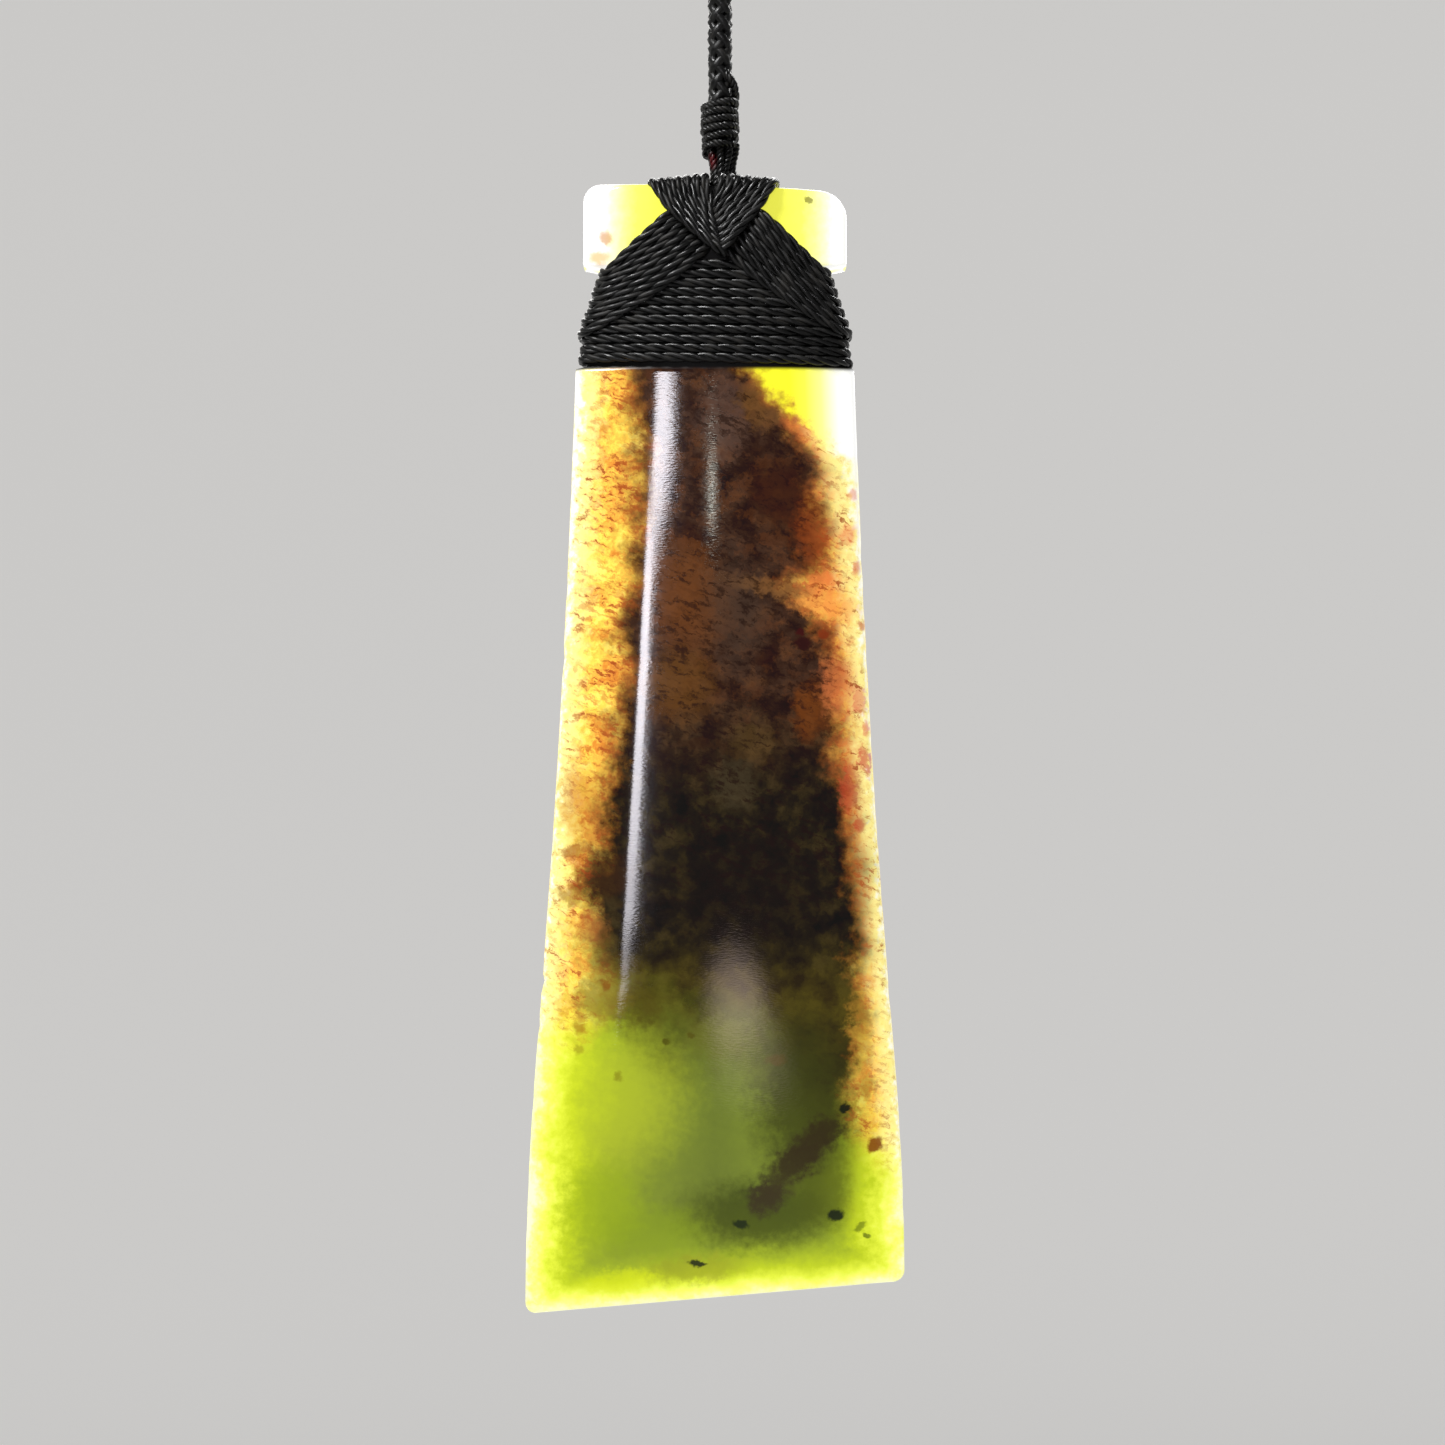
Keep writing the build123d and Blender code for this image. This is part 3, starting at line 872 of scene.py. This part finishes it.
# x from the middle, depth, half width, half height, turn, colour, strength, and how soft its edge is if not 1
broadStains = (
    (-2.2, 32.5, 4.8, 6.4, 10, (108, 62, 28), 0.6),
    (-2.8, 39.5, 4, 4, 0, (104, 66, 28), 0.6),
    (0.6, 18.5, 2.6, 5, 4, (88, 66, 56), 0.6),
    (3.2, 17.6, 1.6, 3, 30, (122, 82, 40), 0.5),
    (5.2, 24.5, 3.2, 4, 10, (50, 22, 8), 0.8, 0.9),
    (8, 27.5, 2.4, 3.8, 10, (124, 54, 18), 0.65),
    (8.8, 33.2, 3.6, 1.5, -12, (240, 156, 72), 0.7),
    (4.4, 31.8, 5.2, 1.1, -10, (132, 88, 46), 0.6),
    (3.9, 37.2, 1.7, 1.1, 20, (34, 8, 4), 0.75, 0.9),
    (9.6, 39.5, 2, 3.4, 0, (206, 112, 62), 0.6),
    (10.6, 47.5, 1, 3.2, 0, (178, 52, 44), 0.6),
    (7.4, 41.5, 1.8, 3.4, 0, (116, 60, 18), 0.6),
    (1.6, 33.5, 3.4, 7, 6, (66, 50, 40), 0.55),
    (3, 44, 2.6, 2.4, 0, (90, 68, 34), 0.4),
    (2.4, 56, 8.5, 7.5, 0, (22, 17, 10), 0.65),
    (1.6, 47.5, 2.6, 3, 20, (66, 56, 38), 0.6),
    (-8.8, 54.6, 3.4, 2.8, 0, (56, 34, 16), 0.7),
    (-11.4, 56.2, 2, 1.2, -14, (120, 74, 30), 0.6),
    (-6.2, 64.8, 3.2, 2.6, 14, (74, 62, 18), 0.6),
    (0.2, 67.6, 4, 2, 0, (98, 100, 34), 0.5),
    (-11.2, 52.6, 1.8, 0.8, 12, (130, 56, 22), 0.7),
    (-10, 58.8, 2.2, 2, 0, (150, 100, 50), 0.5),
    (11.6, 67, 1.3, 4.4, 6, (166, 124, 44), 0.6),
    (-9.2, 64.4, 3.2, 2.6, 0, (122, 104, 38), 0.75),
    (-10.8, 49, 2.4, 5, 0, (172, 104, 40), 0.5),
    (-1.6, 86, 6, 1.6, 4, (142, 144, 34), 0.6),
    (12.2, 71.5, 1, 1.6, 0, (150, 96, 30), 0.6),
    (7.2, 72.5, 6, 10, 8, (48, 50, 17), 0.85),
    (3.6, 81.6, 9, 4, 2, (50, 57, 14), 0.8),
    (8.6, 79.6, 3.2, 4.2, 0, (66, 72, 16), 0.6),
    (6.6, 77.2, 4.8, 2.1, 41, (46, 34, 20), 0.9),
    (4.2, 80.2, 2.6, 1.9, 30, (52, 40, 26), 0.85),
    (8.8, 74.8, 2, 1.6, 20, (46, 36, 18), 0.8),
    (-9, 72.5, 9, 8, 0, (206, 217, 46), 0.34),
    (-9, 81, 4.5, 4.8, 0, (146, 166, 24), 0.6),
    (-7.6, 87.2, 4.4, 1.5, 5, (208, 218, 20), 0.55),
    (11.4, 40.8, 0.8, 1.6, 0, (210, 90, 84), 0.6, 0.9),
    (11.9, 45.6, 0.7, 1.8, 0, (196, 60, 60), 0.7, 0.9),
    (-5, 83, 6, 3, 0, (128, 148, 26), 0.5),
)
smallStains = (
    (-8.6, 4.1, 0.7, 0.9, 20, (196, 132, 48), 0.7),
    (-9.2, 5.7, 1.25, 0.8, 0, (232, 172, 70), 0.7),
    (7.4, 1.1, 0.5, 0.3, -40, (90, 80, 20), 0.7, 0.8),
    (6.9, 36.2, 0.9, 0.7, 0, (44, 10, 6), 0.7, 0.9),
    (11.2, 30.2, 0.5, 0.8, 0, (206, 70, 70), 0.6, 0.9),
    (10.6, 27.6, 0.9, 1.2, -20, (226, 96, 66), 0.55, 0.9),
    (10.9, 24.4, 0.5, 0.7, 0, (214, 84, 76), 0.5, 0.9),
    (12, 43, 0.35, 0.9, 10, (214, 76, 78), 0.6, 0.9),
    (11.7, 34.8, 0.5, 0.5, 0, (190, 50, 50), 0.6, 0.9),
    (11.4, 50.6, 0.6, 0.8, 0, (170, 40, 36), 0.7, 0.9),
    (6.7, 35.4, 0.5, 0.4, 0, (58, 10, 8), 0.8, 0.8),
    (8.6, 35.5, 0.6, 0.5, 0, (120, 44, 18), 0.8, 0.8),
    (-1.4, 85.6, 0.9, 0.34, 4, (30, 36, 4), 0.95, 0.6),
    (2.1, 82.4, 0.75, 0.5, 0, (24, 34, 4), 0.9, 0.7),
    (9.6, 81.7, 0.85, 0.65, 10, (20, 28, 6), 0.95, 0.7),
    (10.3, 73.1, 0.6, 0.6, 0, (14, 22, 6), 0.95, 0.6),
    (12.7, 76, 0.75, 0.9, -20, (116, 44, 10), 0.9, 0.7),
    (11.6, 82.6, 0.7, 0.35, 30, (60, 74, 12), 0.6, 0.7),
    (12.1, 83.4, 0.5, 0.3, -10, (44, 60, 10), 0.7, 0.7),
    (-7.7, 70.5, 0.5, 0.6, 0, (120, 110, 20), 0.6, 0.9),
    (-3.9, 67.7, 0.5, 0.4, 0, (70, 66, 12), 0.8, 0.8),
    (-1.9, 67.3, 0.45, 0.4, 0, (76, 68, 16), 0.7, 0.8),
    (4.8, 69.2, 1.2, 0.6, 0, (80, 60, 20), 0.6, 0.9),
    (-10.8, 66.7, 0.8, 0.6, 0, (150, 96, 24), 0.7, 0.9),
    (-10.8, 68.4, 0.6, 0.5, 0, (146, 130, 30), 0.6, 0.9),
    (-8.6, 63.3, 0.5, 0.6, 0, (120, 60, 16), 0.7, 0.9),
)


def stainOver(under, place, x, depth, wide, high, turn, colour, strength, soft=1):
    # A stain goes through the stone from front to back, so it is long in that direction
    egg = eggAt(place, (x, 0.0, -depth), (wide, 60.0, high), math.radians(-turn))
    return paint(under, fade(egg, 0.0, 0.15 + 0.55 * soft, 0.0, strength), *colour)


def drawnLine(value, points, given, wanted):
    # A smooth drawn line: millimetres out for millimetres in
    (span, start), (outSpan, outStart) = greenstone[given], greenstone[wanted]
    node = addNode(value.id_data, "ShaderNodeFloatCurve", {"Value": divided(plus(value, start), span)})
    curve = node.mapping.curves[0]
    for k, (along, out) in enumerate(points):
        place = ((along + start) / span, (out + outStart) / outSpan)
        if k < 2:
            curve.points[k].location = place
        else:
            curve.points.new(*place)
    node.mapping.update()
    return timesPlus(node.outputs[0], outSpan, -outStart)


def makeStoneMaterial():
    material, tree, shader = startMaterial("greenstone")
    material.cycles.emission_sampling = "NONE"
    # millimetres from the middle of the butt
    fromCentre = vectorSums("SCALE", objectPlace(tree), 1 / mm)
    place = vectorSums("ADD", fromCentre, (-toki["shift"], 0, -toki["buttZ"]))
    coarse = noiseOf(place, 0.30, 2, 0.5, output=1)
    fine = noiseOf(place, 1.5, 3, 0.6, output=1)
    frayed = vectorSums("ADD", place, vectorSums("SCALE", centred(fine), 2.4))
    slight = vectorSums("ADD", place, vectorSums("SCALE", centred(fine), 0.9))
    spread = vectorSums("ADD", frayed, vectorSums("SCALE", centred(coarse), 4.5))
    across, depth = axisOf(spread, "X"), times(axisOf(spread, "Z"), -1)
    plainAcross, plainDepth = axisOf(place, "X"), times(axisOf(place, "Z"), -1)
    fineShare, coarseShare, clusters = axisOf(fine, "X"), axisOf(coarse, "X"), axisOf(coarse, "Z")
    sideGap = attributeOf(tree, "sideGap")
    raggedGap = plus(sideGap, timesPlus(fineShare, 2.6, -1.3))
    rightSide = fade(plainAcross, -2, 6)

    # Rusty amber with flecks drawn out across the stone, and a rim pale with light
    mottle = noiseOf(vectorSums("MULTIPLY", frayed, (0.45, 0.45, 0.8)), 1, 3, 0.6)
    amber = ramp(mottle, (0.34, 220, 138, 50), (0.44, 243, 184, 72), (0.55, 250, 214, 82),
                 (0.68, 253, 234, 108))
    rightUpper = times(rightSide, fade(plainDepth, 56, 68, 1, 0.1))
    amber = paint(amber, times(rightUpper, fade(mottle, 0.40, 0.62, 0.9, 0.4)), 224, 124, 62)
    amber = paint(amber, times(fade(plainDepth, 36, 54, 0, 0.6), rightUpper), 166, 104, 46)
    drawnOut = vectorSums("MULTIPLY", slight, (0.8, 0.8, 2.3))
    speck = noiseOf(vectorSums("ADD", drawnOut, combine(z=times(plainAcross, 0.75))), 1.2, 3, 0.68)
    flecks = times(fade(speck, 0.52, 0.60), fade(mottle, 0.42, 0.60, 1, 0.35),
                   fade(clusters, 0.40, 0.58, 0.45, 1))
    wisps = times(fade(speck, 0.44, 0.58), fade(clusters, 0.42, 0.60, 0, 0.75))
    amber = paint(amber, wisps, 222, 138, 62)
    # Painted light: a pale rim where light comes through the thin edge, wider on the upper right
    wideRimLight = times(rightSide, fade(plainDepth, 18, 34, 0.45, 0))
    rimGap = times(plus(raggedGap, fade(plainDepth, 16, 46, -0.2, 0.3)), minus(1, wideRimLight))
    amber = paint(amber, fade(rimGap, 0.3, 2.9, 1, 0), 253, 240, 150)
    amber = paint(amber, fade(rimGap, -0.1, 0.8, 1, 0), 255, 254, 238)

    # Green foot: bright at its rims, painted light that comes through the thin edges, and dull in the middle
    footGap = minus(timesPlus(plainAcross, -0.0875, toki["height"]), plainDepth)
    raggedFoot = timesPlus(fineShare, 1.5, timesPlus(footGap, 1.5, -0.6))
    gap = sums("SMOOTH_MIN", raggedGap, raggedFoot)
    green = ramp(divided(timesPlus(coarseShare, 2.5, minus(gap, 1.25)), 16),
                 (0, 255, 255, 196), (0.045, 250, 252, 138), (0.085, 238, 245, 100), (0.14, 218, 230, 60),
                 (0.21, 184, 200, 34), (0.30, 154, 171, 36), (0.42, 131, 147, 40), (0.75, 110, 123, 43),
                 (1, 96, 108, 41))
    amberFoot = drawnLine(plainAcross, greenstone["amberFoot"], "lineAcross", "lineDown")
    footShare = fade(minus(depth, amberFoot), -3.5, 3.5)
    colour = mixColour(footShare, amber, green)

    # Clear yellow corner under the lashing on the right, with painted light making its rim white
    cornerLine = sums("MAXIMUM", timesPlus(depth, 0.78, -8.7), timesPlus(depth, 1.5, -21.8))
    corner = times(fade(minus(across, cornerLine), -1.2, 1.4), fade(depth, 21, 25, 1, 0))
    clear = ramp(divided(sideGap, 8), (0, 255, 255, 255), (0.18, 255, 255, 240), (0.34, 254, 254, 146),
                 (0.5, 252, 252, 78), (0.65, 250, 248, 48))
    colour = mixColour(corner, colour, clear)

    # Brown edge of the core, then the core itself: brown above, almost black lower down and olive at its foot
    fromLeft, fromRight = [minus(across, drawnLine(plainDepth, greenstone[name], "lineDown", "lineAcross"))
                           for name in ("coreLeft", "coreRight")]
    edge = times(fade(fromLeft, -2.4, 0.4), fade(fromRight, -0.4, 2.4, 1, 0),
                 fade(plainDepth, 50, 64, 0.75, 0), fade(rimGap, 0.8, 2.6))
    colour = paint(colour, edge, 168, 92, 40)
    coreFoot = drawnLine(plainAcross, greenstone["coreFoot"], "lineAcross", "lineDown")
    core = times(fade(fromLeft, -1.8, 1.4), fade(fromRight, -1.4, 1.8, 1, 0),
                 fade(minus(depth, coreFoot), -6.5, 4.5, 1, 0))
    cloud = noiseOf(slight, 0.55, 3, 0.55)
    browns = ramp(cloud, (0.30, 26, 12, 8), (0.43, 44, 25, 17), (0.56, 58, 38, 28), (0.72, 82, 52, 32))
    blacks = ramp(cloud, (0.32, 14, 10, 5), (0.5, 30, 24, 13), (0.66, 54, 44, 25))
    olives = ramp(cloud, (0.34, 48, 38, 9), (0.62, 74, 64, 20))
    dark = mixColour(fade(depth, 38, 50), browns, blacks)
    dark = mixColour(fade(depth, 58, 66), dark, olives)
    warm = times(fade(mottle, 0.36, 0.50, 0.3, 0), fade(plainDepth, 36, 48, 1, 0))
    colour = mixColour(core, colour, paint(dark, warm, 104, 60, 32))
    for stain in broadStains:
        colour = stainOver(colour, frayed, *stain)

    # Fine flecks over the broad stains: dark in the core, rusty in the amber
    moss = times(fade(speck, 0.46, 0.62), fade(mottle, 0.42, 0.56, 0.2, 0.7), fade(plainDepth, 50, 62, 1, 0.2))
    colour = paint(colour, times(moss, core), 28, 11, 6)
    bare = times(minus(1, core), minus(1, sums("MAXIMUM", footShare, corner)))
    amberFlecks = times(flecks, fade(rimGap, 0.1, 1.2, 0, 0.85))
    colour = paint(colour, times(amberFlecks, bare), 152, 62, 26)

    # Head: white sides, painted light that comes through its thin edges, and yellow towards the lashing
    headGap = plus(sideGap, timesPlus(rightSide, 0.6, timesPlus(fineShare, 1, -0.2)))
    head = ramp(divided(headGap, 8), (0.24, 255, 255, 250), (0.32, 254, 254, 205), (0.44, 254, 254, 150),
                (0.56, 249, 249, 104), (0.8, 240, 240, 84))
    colour = mixColour(fade(plainDepth, 6.6, 7.4, 1, 0), colour, head)
    for stain in smallStains:
        colour = stainOver(colour, slight, *stain)

    # No light comes through where thread covers both faces
    away = sums("ABSOLUTE", plainAcross)
    bundles = fade(minus(plainDepth, timesPlus(away, 0.85, -0.85)), 0, 0.5)
    saddle = fade(timesPlus(plainDepth, 0.54, away), 3.75, 4.1, 1, 0)
    covered = times(sums("MAXIMUM", bundles, saddle), fade(plainDepth, 14.35, 14.7, 1, 0))
    colour = paint(colour, covered, 16, 14, 8)

    # Faint polishing marks run up to the right
    polish = greenstone["polish"]
    marks = addAfter("ShaderNodeMapping", {
        "Vector": place, "Rotation": (0, math.radians(polish["turn"]), 0), "Scale": polish["stretch"]})
    # The colour is also given out as emission: painted light for the light that comes through the stone from
    # behind, so it glows though it is no lamp
    setInputs(shader, {
        "Base Color": mixColour(1, colour, (*[greenstone["body"]] * 3, 1), "MULTIPLY"),
        "Emission Color": vectorSums("MAXIMUM", vectorSums("SUBTRACT", colour, greenstone["veil"]), (0, 0, 0)),
        "Emission Strength": greenstone["glow"],
        "Roughness": timesPlus(fineShare, 0.04, timesPlus(covered, 0.6, greenstone["roughness"])),
        "Normal": bumpFrom(noiseOf(marks, polish["scale"], 1, 0.5), polish["bump"], polish["height"]),
    })
    print("greenstone mixed")
    return material


studio = {
    "floor": -0.8,
    "radius": 3.0,
    "sweep": 1.0,  # radius of the bend from floor to wall
    "wall": 1.5,
    "sides": 96,
    "grey": tint(200, 199, 197),  # behind the stone
    "dim": tint(116, 116, 117),  # behind the camera, where a pale wall would veil the dark core
    "glow": 0.72,
    "sky": (0.9, 0.92, 1.0, 1.0),
    "skyStrength": 0.15,
    "aim": (0, 0, -0.375),  # the lights turn about this point of the stone, in metres
}

studioLights = (
    # name, azimuth and elevation, lean, distance, width, height, power, colour, and whether its rim fades
    ("strip1", -7.85, 8.8, -40, 1, 0.046, 0.072, 0.250, (0.96, 0.93, 1), False),
    ("strip2", -10.5, 5.2, -23, 1, 0.051, 0.068, 0.262, (0.96, 0.93, 1), False),
    ("strip3", -11.2, 1.6, -6, 1, 0.058, 0.064, 0.275, (0.96, 0.93, 1), False),
    ("strip4", -11.2, -2, 2, 1, 0.058, 0.064, 0.225, (0.96, 0.93, 1), False),
    ("strip5", -10.7, -5.6, 5, 1, 0.050, 0.063, 0.130, (0.96, 0.93, 1), False),
    ("strip6", -10.35, -9.4, 4, 1, 0.054, 0.085, 0.092, (0.96, 0.93, 1), True),
    ("pinLight", -0.6, 7.55, -8, 1, 0.026, 0.026, 0.050, (0.94, 0.97, 0.86), True),
    ("glowTop", 2, -12, 0, 1, 0.135, 0.140, 0.170, (1, 0.77, 0.68), True),
    ("glowBody", 3.2, -15, 0, 1, 0.150, 0.178, 0.115, (1, 0.82, 0.70), True),
    ("threadSoftbox", -42, 40, 0, 1, 0.20, 0.20, 13.5, (1, 1, 1), False),
    ("backSoftbox", 142, 40, 0, 1, 0.20, 0.20, 4, (1, 1, 1), False),
    ("backLight", 180, 25, 0, 1.4, 0.9, 0.9, 12, (1, 0.99, 0.97), False),
)


def fadeLight(data):
    # Its reflection is strongest in the middle and fades out to nothing
    data.use_nodes = True
    tree = data.node_tree
    place = addNode(tree, "ShaderNodeNewGeometry").outputs["Parametric"]
    fromMiddle = addAfter("ShaderNodeMapping", {
        "Vector": place, "Location": (-1.0, -1.0, 0.0), "Scale": (2.0, 2.0, 0.0)})
    distance = addAfter("ShaderNodeVectorMath", {0: fromMiddle}, "Value", operation="LENGTH")
    lamp = next(n for n in tree.nodes if n.type == "EMISSION")
    setInputs(lamp, {"Strength": fade(distance, 0.35, 1.0, 1.0, 0.0)})


def addLight(name, azimuth, elevation, lean, distance, width, height, power, colour, faded):
    data = bpy.data.lights.new(name, "AREA")
    data.shape = "RECTANGLE"
    if faded:
        fadeLight(data)
    data.size, data.size_y = width, height
    data.energy = power
    data.color = colour
    light = addObject(name, data)
    a, e = math.radians(azimuth), math.radians(elevation)
    away = Vector((math.sin(a) * math.cos(e), -math.cos(a) * math.cos(e), math.sin(e)))
    light.location = Vector(studio["aim"]) + away * distance
    turned = away.to_track_quat("Z", "Y") @ Quaternion((0, 0, 1), math.radians(lean))
    light.rotation_euler = turned.to_euler()
    light.visible_camera = False


def makeStudio():
    material, tree, shader = startMaterial("paleStudio")
    back = axisOf(objectPlace(tree), "Y")
    glow = mixColour(fade(back, -1.5, 2.5), studio["dim"], studio["grey"])
    setInputs(shader, {"Base Color": glow, "Emission Color": glow, "Emission Strength": studio["glow"],
                       "Roughness": 0.9, "Specular IOR Level": 0.1})
    floor, radius, sweep, count = studio["floor"], studio["radius"], studio["sweep"], studio["sides"]
    profile = [(0.001, floor), (radius * 0.35, floor), (radius - sweep, floor)]
    profile += [(radius - sweep + sweep * math.sin(a), floor + sweep - sweep * math.cos(a))
                for a in np.linspace(0.1, math.pi / 2, 14)]
    profile += [(radius, studio["wall"])]
    angles = [2 * math.pi * k / count for k in range(count)]
    points = [(r * math.cos(a), r * math.sin(a), z) for r, z in profile for a in angles]
    faces = [(a, b, b + count, a + count) for a, b in ringCorners(len(profile), count)]
    faces.append(tuple(range(count)))
    addObject("studioFloor", smoothMesh("studioFloor", points, faces, material))
    world = bpy.data.worlds.new("studioWorld")
    world.use_nodes = True
    sky = next(n for n in world.node_tree.nodes if n.type == "BACKGROUND")
    setInputs(sky, {0: studio["sky"], 1: studio["skyStrength"]})
    bpy.context.scene.world = world
    for row in studioLights:
        addLight(*row)
    print("studio lit")


makeCamera()
twistTree = strandTree("twistedThread", False)
plaitTree = strandTree("roundBraid", True)
threadBlack = makeThreadMaterial("waxedThread")
braidBlack = makeThreadMaterial("waxedBraid")
makeNecklace(plaitTree, twistTree, braidBlack)
makeWhipping(twistTree, threadBlack)
makeLashing(twistTree, threadBlack)
makeStone(makeStoneMaterial())
makeStudio()
